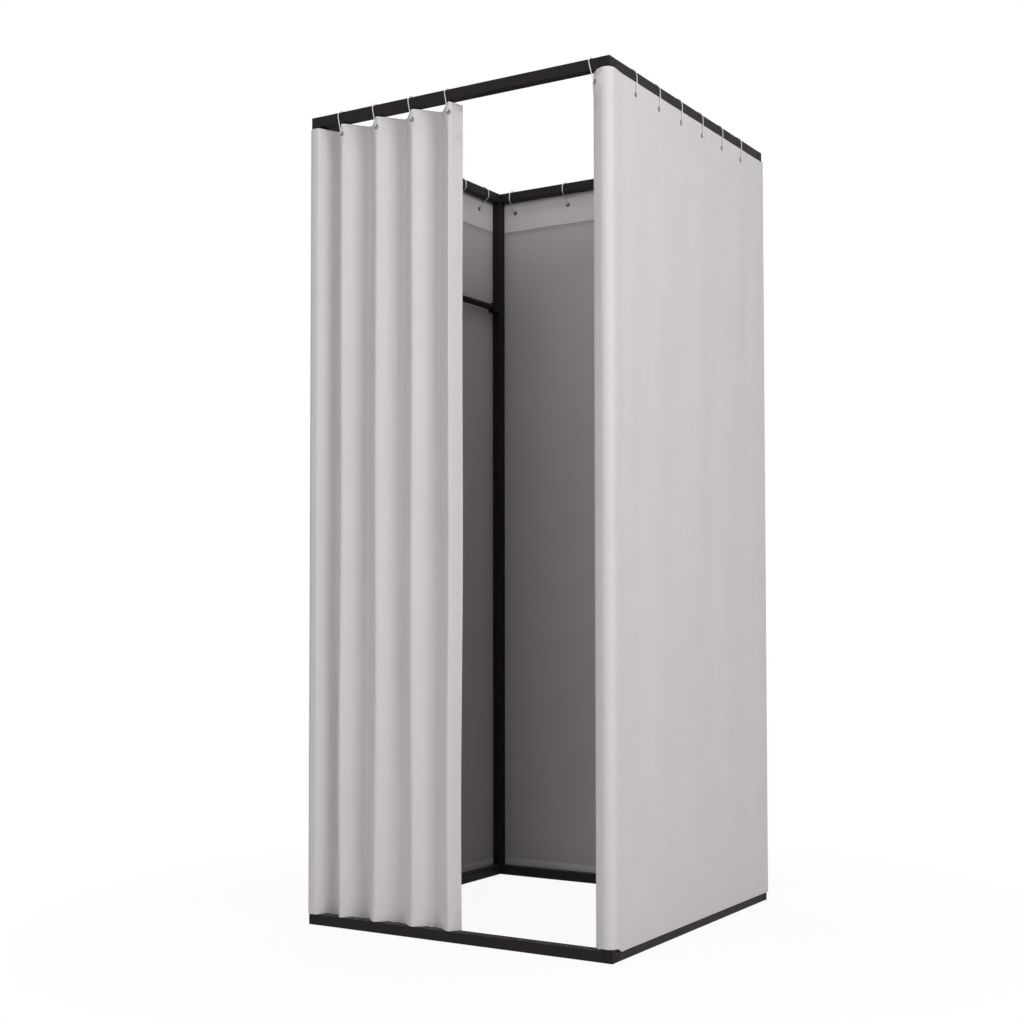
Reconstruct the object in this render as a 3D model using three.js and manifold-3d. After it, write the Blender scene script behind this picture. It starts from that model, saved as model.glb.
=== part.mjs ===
// Portable fitting room: a frame of square tube, flat cloth hung on three sides
// and a pleated curtain that slides across the front, all carried by wire rings.
// Millimetres, +Z up, the front faces -Y, the origin is on the floor under the middle.
import * as THREE from 'three';
import { mergeVertices } from 'three/addons/utils/BufferGeometryUtils.js';
import { RoundedBoxGeometry } from 'three/addons/geometries/RoundedBoxGeometry.js';
import Module from 'manifold-3d';

const wasm = await Module();
wasm.setup();

// Frame of square steel tube
const cabinWidth = 850;
const cabinDepth = 850;
const cabinHeight = 2000;
const tubeSize = 26;
const tubeWall = 1.2;
const tubeCornerRadius = 2;
const jointGap = 0.3;

// Three-way corner connectors
const stubLength = 38;
const stubClearance = 0.3;
const stubTaperLength = 7;
const stubTipDrawIn = 2.4;
const cornerEdgeRadius = 1.6;

// Hanging rail on the left wall and the sockets that hold it
const hangerDrop = 340;
const hangerDiameter = 18;
const hangerWall = 1.2;
const socketLength = 24;
const socketBase = 3.2;
const socketClearance = 0.3;
const screwShankDiameter = 4.4;
const screwHeadDiameter = 8.6;
const screwHeadHeight = 2.6;
const screwReach = 3;
const screwClearance = 0.3;

// Wire rings
const wireDiameter = 2.4;
const ringDrop = 56;
const ringFootRadius = 4;
const ringShoulderLength = 5;

// Cloth
const clothThickness = 1.2;
const clothStandOff = 1.6;
const wallTopLap = 3;
const wallHemLap = 5;
const headingHeight = 100;
const headingThickness = 0.8;
const eyeletHoleDiameter = 8;
const eyeletSlack = 0.8;
const panelGap = 0.4;
const cornerWrapRadius = 17;
const cornerBulge = 3.4;
const cornerEaseLength = 46;

// Lip of the right cloth, which lies on the front and turns in at its free edge
const lipFlatWidth = 30;
const lipTurnRadius = 16;
const lipTailLength = 8;
const lipHemGap = 2;
const lipEyeletInset = 37.5;
const lipEyeletRise = 3;
const lipRingLean = 11;
const lipEaseLength = 12;

// Pleated front curtain
const curtainTopGap = 4.5;
const curtainHemGap = 2.5;
const curtainReturnLength = 34;
const curtainReturnGap = 4;
const firstPleatStart = 44;
const firstRingPlace = 89;
const curtainRingLean = 8.5;
const curtainRingPitch = 106.7;
const curtainLeadLength = 15;
const pleatDepth = 48;
const pleatSettle = 16;
const topEdgeDroop = 2;

// First and last rings of the other rails, measured in from the cabin's outer corners
const rightRingStart = 119;
const rightRingEnd = 146;
const leftRingStart = 96;
const leftRingEnd = 169;
const backRingStart = 63;

const overrun = 2;

// Counts
const sideRingCount = 6;
const backRingCount = 5;
const curtainRingCount = 4;
const roundSteps = 20;
const holeSteps = 12;
const wireSides = 6;
const wireCurveSteps = 4;
const pleatSteps = 16;
const cornerSteps = 5;
const lipSteps = 4;

// Heights of the curtain's rows, as shares of the cloth below the heading
const curtainRowShares = [0, 0.3, 0.6, 0.85];

// Shape of the pleats: how round their crests are, how late the first valley lies, which
// valley is the first to settle, and how much of a pleat the leading edge has begun
const pleatRounding = 0.06;
const firstPleatLag = 1.6;
const settleFrom = 1.5;
const leadShare = 0.375;
const lipTurn = Math.PI / 3;

const halfTube = tubeSize / 2;
const wireRadius = wireDiameter / 2;
const halfWidth = cabinWidth / 2;
const halfDepth = cabinDepth / 2;
const railHeight = cabinHeight - halfTube;
const hangerHeight = cabinHeight - hangerDrop;
const wallTop = cabinHeight - tubeSize + wallTopLap;
const wallFoot = tubeSize - wallHemLap;
const lipTop = cabinHeight - tubeSize - jointGap;
const lipFoot = tubeSize + lipHemGap;
const curtainTop = cabinHeight - tubeSize - curtainTopGap;
const curtainFoot = tubeSize + curtainHemGap;
const clothReach = clothStandOff + clothThickness / 2;
const cornerReach = clothReach + cornerBulge;
const eyeletRadius = eyeletHoleDiameter / 2;
const wireHeight = cabinHeight - ringDrop;
const eyeletHeight = wireHeight + wireRadius + eyeletSlack - eyeletRadius;
const sideClothEnd = clothStandOff - headingThickness - panelGap;

const steel = new THREE.MeshStandardMaterial({ color: 0x2b2a2c, roughness: 0.45, metalness: 0.6 });
const plastic = new THREE.MeshStandardMaterial({ color: 0x262527, roughness: 0.55, metalness: 0 });
const nickel = new THREE.MeshStandardMaterial({ color: 0xb9b8b6, roughness: 0.25, metalness: 1 });
const zinc = new THREE.MeshStandardMaterial({ color: 0x8d8c8a, roughness: 0.4, metalness: 1 });
const cloth = new THREE.MeshStandardMaterial({ color: 0xc9c6c8, roughness: 0.9, metalness: 0 });

const room = new THREE.Group();
room.name = 'portable_fitting_room';

function addPiece(name, geometry, material) {
  const mesh = new THREE.Mesh(geometry, material);
  mesh.name = name;
  room.add(mesh);
  return mesh;
}

// Solids for joining and cutting

function toSolid(geometry) {
  const plain = geometry.clone();
  plain.deleteAttribute('normal');
  plain.deleteAttribute('uv');
  const merged = mergeVertices(plain);
  return new wasm.Manifold(new wasm.Mesh({
    numProp: 3,
    vertProperties: new Float32Array(merged.attributes.position.array),
    triVerts: new Uint32Array(merged.index.array),
  }));
}

function toGeometry(solid) {
  const mesh = solid.getMesh();
  const geometry = new THREE.BufferGeometry();
  geometry.setAttribute('position', new THREE.BufferAttribute(mesh.vertProperties, mesh.numProp));
  geometry.setIndex(new THREE.BufferAttribute(mesh.triVerts, 1));
  geometry.computeVertexNormals();
  return geometry;
}

function join(geometries) {
  let solid = toSolid(geometries[0]);
  for (const geometry of geometries.slice(1)) solid = solid.add(toSolid(geometry));
  return toGeometry(solid);
}

function cut(geometry, tools) {
  let solid = toSolid(geometry);
  for (const tool of tools) solid = solid.subtract(toSolid(tool));
  return toGeometry(solid);
}

// A round bar along Y, for holes and bores
function barAlongY(diameter, length, steps) {
  return new THREE.CylinderGeometry(diameter / 2, diameter / 2, length, steps);
}

// Square tube with rounded outer corners, open at both ends, along Z about its middle
function squareTube(length) {
  const flat = halfTube - tubeCornerRadius;
  const inside = halfTube - tubeWall;
  const outline = new THREE.Shape();
  outline.absarc(flat, flat, tubeCornerRadius, 0, Math.PI / 2);
  outline.absarc(-flat, flat, tubeCornerRadius, Math.PI / 2, Math.PI);
  outline.absarc(-flat, -flat, tubeCornerRadius, Math.PI, Math.PI * 1.5);
  outline.absarc(flat, -flat, tubeCornerRadius, Math.PI * 1.5, Math.PI * 2);
  const bore = new THREE.Path();
  bore.moveTo(inside, inside);
  bore.lineTo(inside, -inside);
  bore.lineTo(-inside, -inside);
  bore.lineTo(-inside, inside);
  outline.holes.push(bore);
  const tube = new THREE.ExtrudeGeometry(outline, { depth: length, bevelEnabled: false, curveSegments: 1 });
  tube.translate(0, 0, -length / 2);
  return tube;
}

function addPosts() {
  const length = cabinHeight - 2 * (tubeSize + jointGap);
  for (const side of ['left', 'right']) {
    for (const end of ['front', 'back']) {
      let post = squareTube(length);
      const towardsMiddle = end === 'front' ? 1 : -1;
      if (side === 'left') {
        const screwHole = barAlongY(screwShankDiameter + 2 * screwClearance, halfTube, holeSteps);
        screwHole.translate(0, towardsMiddle * halfTube, hangerHeight - cabinHeight / 2);
        post = cut(post, [screwHole]);
      }
      const mesh = addPiece(`post_${end}_${side}`, post, steel);
      const x = side === 'left' ? halfTube - halfWidth : halfWidth - halfTube;
      mesh.position.set(x, -towardsMiddle * (halfDepth - halfTube), cabinHeight / 2);
    }
  }
}

function addRails() {
  const acrossLength = cabinWidth - 2 * (tubeSize + jointGap);
  const alongLength = cabinDepth - 2 * (tubeSize + jointGap);
  for (const [level, z] of [['base', halfTube], ['top', railHeight]]) {
    for (const [place, y] of [['front', halfTube - halfDepth], ['back', halfDepth - halfTube]]) {
      const rail = addPiece(`${level}_rail_${place}`, squareTube(acrossLength), steel);
      rail.rotation.y = Math.PI / 2;
      rail.position.set(0, y, z);
    }
    for (const [place, x] of [['left', halfTube - halfWidth], ['right', halfWidth - halfTube]]) {
      const rail = addPiece(`${level}_rail_${place}`, squareTube(alongLength), steel);
      rail.rotation.x = Math.PI / 2;
      rail.position.set(x, 0, z);
    }
  }
}

// Square plug that fills a tube end, tapered at its tip, along +Y from its root
function stub() {
  const size = tubeSize - 2 * (tubeWall + stubClearance);
  const cornerShare = Math.SQRT1_2;
  const root = size * cornerShare;
  const tip = (size - stubTipDrawIn) * cornerShare;
  const profile = [
    new THREE.Vector2(0, 0),
    new THREE.Vector2(root, 0),
    new THREE.Vector2(root, halfTube + stubLength - stubTaperLength),
    new THREE.Vector2(tip, halfTube + stubLength),
    new THREE.Vector2(0, halfTube + stubLength),
  ];
  const plug = new THREE.LatheGeometry(profile, 4);
  plug.rotateY(Math.PI / 4);
  return plug;
}

// Cube with three stubs, towards +X, +Y and +Z
function cornerConnector() {
  const cube = new RoundedBoxGeometry(tubeSize, tubeSize, tubeSize, 1, cornerEdgeRadius);
  const alongX = stub().rotateZ(-Math.PI / 2);
  const alongY = stub();
  const alongZ = stub().rotateX(Math.PI / 2);
  return join([cube, alongX, alongY, alongZ]);
}

function addCorners() {
  // Quarter turns that point the two level stubs into the cabin, on the floor
  const turns = { front_left: 0, front_right: 1, back_right: 2, back_left: 3 };
  for (const [place, turn] of Object.entries(turns)) {
    const x = place.endsWith('left') ? halfTube - halfWidth : halfWidth - halfTube;
    const y = place.startsWith('front') ? halfTube - halfDepth : halfDepth - halfTube;
    const low = addPiece(`base_corner_${place}`, cornerConnector(), plastic);
    low.rotation.z = turn * Math.PI / 2;
    low.position.set(x, y, halfTube);
    // Turned over about the corner's own diagonal, the third stub points down
    const turnedOver = cornerConnector().rotateX(Math.PI).rotateZ(Math.PI / 2);
    const high = addPiece(`top_corner_${place}`, turnedOver, plastic);
    high.rotation.z = turn * Math.PI / 2;
    high.position.set(x, y, railHeight);
  }
}

// Hanging rail, its two sockets and their screws, on the left wall

function hangerTube(length) {
  const outer = hangerDiameter / 2;
  const inner = outer - hangerWall;
  const profile = [
    new THREE.Vector2(inner, -length / 2),
    new THREE.Vector2(outer, -length / 2),
    new THREE.Vector2(outer, length / 2),
    new THREE.Vector2(inner, length / 2),
    new THREE.Vector2(inner, -length / 2),
  ];
  return new THREE.LatheGeometry(profile, roundSteps);
}

// Socket along +Y from the face that lies on the post
function hangerSocket() {
  const block = new RoundedBoxGeometry(tubeSize, socketLength, tubeSize, 1, cornerEdgeRadius);
  block.translate(0, socketLength / 2, 0);
  const boreLength = socketLength - socketBase + overrun;
  const bore = barAlongY(hangerDiameter + 2 * socketClearance, boreLength, roundSteps);
  bore.translate(0, socketBase + boreLength / 2, 0);
  const holeLength = socketBase + 2 * overrun;
  const hole = barAlongY(screwShankDiameter + 2 * screwClearance, holeLength, holeSteps);
  hole.translate(0, socketBase / 2, 0);
  return cut(block, [bore, hole]);
}

// Pan head screw along Y, its tip towards -Y and the underside of its head at zero
function socketScrew() {
  const shank = screwShankDiameter / 2;
  const head = screwHeadDiameter / 2;
  const length = socketBase + 2 * jointGap + tubeWall + screwReach;
  const profile = [
    new THREE.Vector2(0, -length),
    new THREE.Vector2(shank / 2, -length),
    new THREE.Vector2(shank, shank - length),
    new THREE.Vector2(shank, 0),
    new THREE.Vector2(head, 0),
    new THREE.Vector2(head, screwHeadHeight / 2),
    new THREE.Vector2(head * Math.SQRT1_2, screwHeadHeight),
    new THREE.Vector2(0, screwHeadHeight),
  ];
  return new THREE.LatheGeometry(profile, holeSteps);
}

function addHangerRail() {
  const x = halfTube - halfWidth;
  const socketFace = halfDepth - tubeSize - jointGap;
  const railLength = 2 * (socketFace - socketBase - jointGap);
  addPiece('hanger_rail', hangerTube(railLength), steel).position.set(x, 0, hangerHeight);
  for (const [place, turn, sign] of [['front', 0, -1], ['back', Math.PI, 1]]) {
    const socket = addPiece(`hanger_socket_${place}`, hangerSocket(), plastic);
    socket.rotation.z = turn;
    socket.position.set(x, sign * socketFace, hangerHeight);
    const screw = addPiece(`hanger_screw_${place}`, socketScrew(), zinc);
    screw.rotation.z = turn;
    screw.position.set(x, sign * (socketFace - socketBase - jointGap), hangerHeight);
  }
}

// Wire rings

// Middle line of a ring's wire, seen along its rail: x is outwards, y is up
function ringLine() {
  const crown = (halfTube - tubeCornerRadius) * Math.SQRT2 + tubeCornerRadius + jointGap + wireRadius;
  const footHeight = halfTube - ringDrop + ringFootRadius;
  const footPlace = crown - ringFootRadius;
  const shoulder = new THREE.Vector2(-crown, -halfTube);
  const foot = new THREE.Vector2(footPlace, footHeight);
  const reach = foot.clone().sub(shoulder);
  const slope = Math.atan2(reach.y, reach.x) - Math.asin(ringFootRadius / reach.length());
  const direction = new THREE.Vector2(Math.cos(slope), Math.sin(slope));
  const bendEnd = shoulder.clone().addScaledVector(direction, ringShoulderLength);
  const line = new THREE.Path();
  line.moveTo(crown, footHeight);
  line.lineTo(crown, 0);
  line.absarc(0, 0, crown, 0, Math.PI);
  line.lineTo(-crown, shoulder.y + ringShoulderLength);
  line.quadraticCurveTo(shoulder.x, shoulder.y, bendEnd.x, bendEnd.y);
  line.absarc(foot.x, foot.y, ringFootRadius, slope + Math.PI * 1.5, Math.PI * 2);
  const points = line.getPoints(wireCurveSteps);
  const apart = wireRadius / 10;
  const kept = points.filter((p, i) => i === 0 || p.distanceTo(points[i - 1]) > apart);
  if (kept.at(-1).distanceTo(kept[0]) < apart) kept.pop();
  return kept;
}

// One closed loop of wire: x outwards, y along the rail, z up; its foot leans along the rail
function wireRing(lean) {
  const line = ringLine();
  const slant = lean / (ringDrop - halfTube);
  const count = line.length;
  const positions = [];
  const index = [];
  line.forEach((point, i) => {
    const before = line[(i + count - 1) % count];
    const after = line[(i + 1) % count];
    const along = after.clone().sub(before).normalize();
    for (let k = 0; k < wireSides; k += 1) {
      const angle = 2 * Math.PI * k / wireSides;
      const side = Math.cos(angle) * wireRadius;
      const up = point.y + along.x * side;
      positions.push(point.x - along.y * side, Math.sin(angle) * wireRadius - slant * up, up);
    }
  });
  for (let i = 0; i < count; i += 1) {
    for (let k = 0; k < wireSides; k += 1) {
      const a = i * wireSides + k;
      const b = i * wireSides + (k + 1) % wireSides;
      const c = ((i + 1) % count) * wireSides + k;
      const d = ((i + 1) % count) * wireSides + (k + 1) % wireSides;
      index.push(a, b, c, b, d, c);
    }
  }
  return facingOut(positions, index);
}

function facingOut(positions, index) {
  const geometry = new THREE.BufferGeometry();
  geometry.setAttribute('position', new THREE.Float32BufferAttribute(positions, 3));
  const corner = (i) => new THREE.Vector3().fromArray(positions, 3 * i);
  let volume = 0;
  for (let i = 0; i < index.length; i += 3) {
    volume += corner(index[i]).dot(corner(index[i + 1]).cross(corner(index[i + 2])));
  }
  geometry.setIndex(volume < 0 ? index.slice().reverse() : index);
  geometry.computeVertexNormals();
  return geometry;
}

// Each wall's rail: where its middle is, which way is out and which way it runs
const walls = {
  front: { turn: -Math.PI / 2, out: [0, -1], start: [-halfWidth, halfTube - halfDepth], run: [1, 0] },
  right: { turn: 0, out: [1, 0], start: [halfWidth - halfTube, -halfDepth], run: [0, 1] },
  back: { turn: Math.PI / 2, out: [0, 1], start: [-halfWidth, halfDepth - halfTube], run: [1, 0] },
  left: { turn: Math.PI, out: [-1, 0], start: [halfTube - halfWidth, halfDepth], run: [0, -1] },
};

function addRing(name, wall, place, lean = 0) {
  const { turn, start, run } = walls[wall];
  const ring = addPiece(name, wireRing(lean), nickel);
  ring.rotation.z = turn;
  ring.position.set(start[0] + run[0] * place, start[1] + run[1] * place, railHeight);
}

// Cloth

// Sideways direction of a line at each of its points, to the right of its run
function sideways(line) {
  return line.map((point, i) => {
    const before = line[Math.max(i - 1, 0)];
    const after = line[Math.min(i + 1, line.length - 1)];
    const along = after.clone().sub(before).normalize();
    return new THREE.Vector2(along.y, -along.x);
  });
}

// Closed sheet through its rows, lowest first; each gives its line, heights and extra
// thickness inside
function sheet(rows) {
  const positions = [];
  const index = [];
  const columns = rows[0].line.length;
  const half = clothThickness / 2;
  for (const row of rows) {
    const side = sideways(row.line);
    row.line.forEach((point, i) => {
      for (const reach of [-half - row.inside, half]) {
        positions.push(point.x + side[i].x * reach, point.y + side[i].y * reach, row.heights[i]);
      }
    });
  }
  const vertex = (row, column, face) => 2 * (row * columns + column) + face;
  const quad = (a, b, c, d) => index.push(a, b, c, a, c, d);
  const last = columns - 1;
  const top = rows.length - 1;
  for (let i = 0; i < last; i += 1) {
    for (let r = 0; r < top; r += 1) {
      quad(vertex(r, i, 1), vertex(r, i + 1, 1), vertex(r + 1, i + 1, 1), vertex(r + 1, i, 1));
      quad(vertex(r, i, 0), vertex(r + 1, i, 0), vertex(r + 1, i + 1, 0), vertex(r, i + 1, 0));
    }
    quad(vertex(0, i, 0), vertex(0, i + 1, 0), vertex(0, i + 1, 1), vertex(0, i, 1));
    quad(vertex(top, i, 0), vertex(top, i, 1), vertex(top, i + 1, 1), vertex(top, i + 1, 0));
  }
  for (let r = 0; r < top; r += 1) {
    quad(vertex(r, 0, 0), vertex(r, 0, 1), vertex(r + 1, 0, 1), vertex(r + 1, 0, 0));
    quad(vertex(r, last, 0), vertex(r + 1, last, 0), vertex(r + 1, last, 1), vertex(r, last, 1));
  }
  return facingOut(positions, index);
}

// Hole through the cloth at a ring's foot
function eyeletHole(wall, place, rise = 0) {
  const { turn, out, start, run } = walls[wall];
  const hole = barAlongY(eyeletHoleDiameter, tubeSize, holeSteps);
  hole.rotateZ(turn + Math.PI / 2);
  const x = start[0] + run[0] * place + out[0] * (halfTube + clothReach);
  const y = start[1] + run[1] * place + out[1] * (halfTube + clothReach);
  return hole.translate(x, y, eyeletHeight + rise);
}

// Heights of the rows where the heading, folded over inside the top, starts and ends
function headingRows(top) {
  const foot = top - headingHeight;
  return [
    { height: foot, inside: 0 },
    { height: foot + headingThickness, inside: headingThickness },
    { height: top, inside: headingThickness },
  ];
}

// Wall cloth under its line; rises gives how far each point of its hem and of its top stands
// above the usual
function addWallCloth(name, line, holes, rises = line.map(() => [0, 0])) {
  const levels = [{ height: wallFoot, inside: 0 }, ...headingRows(wallTop)];
  const rows = levels.map(({ height, inside }, r) => {
    const atHem = r === 0 ? 1 : 0;
    const atTop = r === levels.length - 1 ? 1 : 0;
    const heights = rises.map(([hem, top]) => height + atHem * hem + atTop * top);
    return { line, inside, heights };
  });
  addPiece(name, cut(sheet(rows), holes), cloth);
}

function addFlatCloth(name, wall, from, to, ringPlaces) {
  const { out, start, run } = walls[wall];
  const reach = halfTube + clothReach;
  const line = [from, to].map((place) => new THREE.Vector2(
    start[0] + run[0] * place + out[0] * reach,
    start[1] + run[1] * place + out[1] * reach,
  ));
  const side = sideways(line)[0];
  if (side.x * out[0] + side.y * out[1] < 0) line.reverse();
  const holes = ringPlaces.map((place) => eyeletHole(wall, place));
  addWallCloth(name, line, holes);
}

// Ring places spread evenly along a rail, clear of its two ends
function spread(length, start, end, count) {
  const pitch = (length - start - end) / (count - 1);
  return Array.from({ length: count }, (_, i) => start + i * pitch);
}

const rightRingPlaces = spread(cabinDepth, rightRingStart, rightRingEnd, sideRingCount);
const leftRingPlaces = spread(cabinDepth, leftRingStart, leftRingEnd, sideRingCount);
const backRingPlaces = spread(cabinWidth, backRingStart, backRingStart, backRingCount);
const curtainRingPlaces = Array.from(
  { length: curtainRingCount },
  (_, i) => firstRingPlace + i * curtainRingPitch,
);

// Rounded turn of cloth about a front post, from the side wall to the front on the left
function cornerTurn(sign) {
  const x = sign * (halfWidth + cornerReach - cornerWrapRadius);
  const y = cornerWrapRadius - halfDepth - cornerReach;
  const turn = [];
  for (let i = 0; i <= cornerSteps; i += 1) {
    const angle = i / cornerSteps * Math.PI / 2;
    turn.push(new THREE.Vector2(
      x + sign * cornerWrapRadius * Math.cos(angle),
      y - cornerWrapRadius * Math.sin(angle),
    ));
  }
  return turn;
}

// Free edge of the lip, turned in behind the front plane, up to where the lip lies flat
function lipEdge() {
  const edge = [];
  for (let i = 0; i <= lipSteps; i += 1) {
    const angle = lipTurn * (1 - i / lipSteps);
    edge.push(new THREE.Vector2(
      halfWidth - lipFlatWidth - lipTurnRadius * Math.sin(angle),
      lipTurnRadius * (1 - Math.cos(angle)) - halfDepth - clothReach,
    ));
  }
  const tail = new THREE.Vector2(
    edge[0].x - lipTailLength * Math.cos(lipTurn),
    edge[0].y + lipTailLength * Math.sin(lipTurn),
  );
  return [tail, ...edge];
}

// Right cloth: a lip on the front, the turn round the post and the whole side wall. The lip
// and the turn hang clear of the base rail, and the turned edge stays under the top rail.
function addRightCloth() {
  const sidePlane = halfWidth + clothReach;
  const edge = lipEdge();
  const turn = cornerTurn(1).reverse();
  const lip = [...edge, new THREE.Vector2(turn[0].x - lipEaseLength, edge.at(-1).y), ...turn];
  const side = [
    new THREE.Vector2(sidePlane + cornerBulge / 2, turn.at(-1).y + cornerEaseLength / 2),
    new THREE.Vector2(sidePlane, turn.at(-1).y + cornerEaseLength),
    new THREE.Vector2(sidePlane, halfDepth + sideClothEnd),
  ];
  const rises = [
    ...lip.map((_, i) => [lipFoot - wallFoot, i < edge.length - 1 ? lipTop - wallTop : 0]),
    ...side.map(() => [0, 0]),
  ];
  const holes = rightRingPlaces.map((place) => eyeletHole('right', place));
  holes.push(eyeletHole('front', cabinWidth - lipEyeletInset, lipEyeletRise));
  addWallCloth('right_cloth', [...lip, ...side], holes, rises);
}

// Share of its depth that a pleat has reached: 0 at its crest and 1 at its valley
function pleatShare(phase) {
  const crest = Math.acos(1 - pleatRounding);
  const wave = Math.acos((1 - pleatRounding) * Math.cos(2 * Math.PI * phase));
  return (wave - crest) / (Math.PI - 2 * crest);
}

// Pleated curtain: phase counts crests, from 0 beside the left post and 1 at the first ring's
// foot; share is the height below the heading, where the later pleats are shallower low down
function pleatPoint(phase, share) {
  const firstCrest = firstRingPlace + curtainRingLean;
  const early = Math.min(phase, 1);
  const late = Math.max(phase - curtainRingCount, 0);
  const first = (firstCrest - firstPleatStart) * early ** firstPleatLag;
  const between = curtainRingPitch * (phase - early - late);
  const place = firstPleatStart + first + between + curtainLeadLength * late / leadShare;
  const settled = pleatSettle * (1 - share) * Math.min(Math.max(phase - settleFrom, 0), 1);
  const crest = halfTube + clothReach + cornerBulge * (1 - early);
  const depth = (pleatDepth - settled) * pleatShare(phase);
  return new THREE.Vector2(place - halfWidth, halfTube - halfDepth - crest + depth);
}

function curtainRow(share, height, inside, droop) {
  const turn = cornerTurn(-1);
  const lastPhase = curtainRingCount + leadShare;
  const steps = Math.round(lastPhase * pleatSteps);
  const start = new THREE.Vector2(
    -halfWidth - clothReach,
    curtainReturnLength - halfDepth,
  );
  const line = [start, ...turn];
  const heights = line.map(() => height);
  for (let i = 0; i <= steps; i += 1) {
    const phase = lastPhase * i / steps;
    line.push(pleatPoint(phase, share));
    heights.push(height - droop * pleatShare(phase));
  }
  return { line, heights, inside };
}

function curtainRows() {
  const upper = headingRows(curtainTop);
  const lower = curtainRowShares.map((share) => {
    const height = curtainFoot + share * (upper[0].height - curtainFoot);
    return curtainRow(share, height, 0, 0);
  });
  const heading = upper.map(({ height, inside }) => curtainRow(1, height, inside, topEdgeDroop));
  return [...lower, ...heading];
}

function addCurtain() {
  const holes = curtainRingPlaces.map((place) => eyeletHole('front', place + curtainRingLean));
  addPiece('front_curtain', cut(sheet(curtainRows()), holes), cloth);
  curtainRingPlaces.forEach((place, i) => {
    addRing(`curtain_ring_${i + 1}`, 'front', place, curtainRingLean);
  });
}

function addWallCloths() {
  addRightCloth();
  const backReach = clothStandOff + clothThickness;
  addFlatCloth('back_cloth', 'back', -backReach, cabinWidth + backReach, backRingPlaces);
  const leftTo = cabinDepth - curtainReturnLength - curtainReturnGap;
  addFlatCloth('left_cloth', 'left', -sideClothEnd, leftTo, leftRingPlaces);
  rightRingPlaces.forEach((place, i) => addRing(`right_ring_${i + 1}`, 'right', place));
  leftRingPlaces.forEach((place, i) => addRing(`left_ring_${i + 1}`, 'left', place));
  backRingPlaces.forEach((place, i) => addRing(`back_ring_${i + 1}`, 'back', place));
  addRing('lip_ring', 'front', cabinWidth - lipEyeletInset - lipRingLean, lipRingLean);
}

addPosts();
addRails();
addCorners();
addHangerRail();
addWallCloths();
addCurtain();

export default room;
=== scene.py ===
import math

import bpy
import numpy as np
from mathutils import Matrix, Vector


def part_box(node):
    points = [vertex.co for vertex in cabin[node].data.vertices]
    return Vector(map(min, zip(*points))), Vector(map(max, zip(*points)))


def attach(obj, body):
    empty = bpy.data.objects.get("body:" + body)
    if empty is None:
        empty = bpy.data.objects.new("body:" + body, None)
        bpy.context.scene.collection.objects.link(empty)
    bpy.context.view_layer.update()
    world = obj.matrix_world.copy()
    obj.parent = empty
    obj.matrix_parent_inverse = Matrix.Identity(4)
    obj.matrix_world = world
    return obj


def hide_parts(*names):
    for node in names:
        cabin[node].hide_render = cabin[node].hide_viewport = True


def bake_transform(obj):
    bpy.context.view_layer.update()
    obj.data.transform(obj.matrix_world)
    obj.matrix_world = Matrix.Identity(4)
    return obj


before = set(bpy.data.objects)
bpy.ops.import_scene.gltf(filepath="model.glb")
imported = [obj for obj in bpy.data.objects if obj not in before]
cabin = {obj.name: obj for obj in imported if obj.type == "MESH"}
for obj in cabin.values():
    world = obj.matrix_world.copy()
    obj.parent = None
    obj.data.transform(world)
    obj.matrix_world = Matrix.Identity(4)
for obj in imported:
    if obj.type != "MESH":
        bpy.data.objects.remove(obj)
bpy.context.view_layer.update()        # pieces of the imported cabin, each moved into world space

# The studio: a white floor and backdrop, four large soft lamps, and a camera where the
# photograph was taken from. None of it is part of the cabin.
scene = bpy.context.scene
scene.view_settings.view_transform = "Standard"

camera_data = bpy.data.cameras.new("camera")
camera_data.lens = 53.24
camera_data.sensor_width = 36
camera_data.shift_x = -0.0499
camera_data.shift_y = 0.0412
camera = bpy.data.objects.new("camera", camera_data)
camera.location = (2.0216, -3.3318, 0.7696)
camera.rotation_euler = (math.radians(92.1), math.radians(0.137), math.radians(30.605))
scene.collection.objects.link(camera)
scene.camera = camera

cabin_middle = Vector((0, 0, 1))


def soft_lamp(name, place, side, watts):
    """A square lamp turned to the cabin, which the camera doesn't see."""
    data = bpy.data.lights.new(name, "AREA")
    data.shape = "SQUARE"
    data.size = side
    data.energy = watts
    lamp = bpy.data.objects.new(name, data)
    lamp.visible_camera = False
    lamp.location = place
    lamp.rotation_euler = (cabin_middle - Vector(place)).to_track_quat("-Z", "Y").to_euler()
    scene.collection.objects.link(lamp)


soft_lamp("lamp_right", place=(3, -1.6, 2.4), side=1.4, watts=56)
soft_lamp("lamp_front", place=(1.25, -4.2, 2.2), side=1.8, watts=40)
soft_lamp("lamp_above", place=(0, 0, 4.2), side=3, watts=44)
soft_lamp("lamp_back_left", place=(-3.4, 3, 2.6), side=2.4, watts=60)


def node(tree, kind, inputs=None, **settings):
    """A shader node with its settings, and its inputs given as values or as sockets."""
    made = tree.nodes.new("ShaderNode" + kind)
    for name, value in settings.items():
        setattr(made, name, value)
    for name, value in (inputs or {}).items():
        if isinstance(value, bpy.types.NodeSocket):
            tree.links.new(value, made.inputs[name])
        else:
            made.inputs[name].default_value = value
    return made


def reckon(tree, operation, *values):
    """One step of arithmetic on values and sockets."""
    return node(tree, "Math", dict(enumerate(values)), operation=operation).outputs[0]


def ramp(tree, value, start, end, low=0, high=1, smooth=False):
    """low where value is at start, high where it is at end, and held beyond both."""
    limits = {"Value": value, "From Min": start, "From Max": end, "To Min": low, "To Max": high}
    rising = "SMOOTHSTEP" if smooth else "LINEAR"
    return node(tree, "MapRange", limits, interpolation_type=rising).outputs[0]


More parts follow.
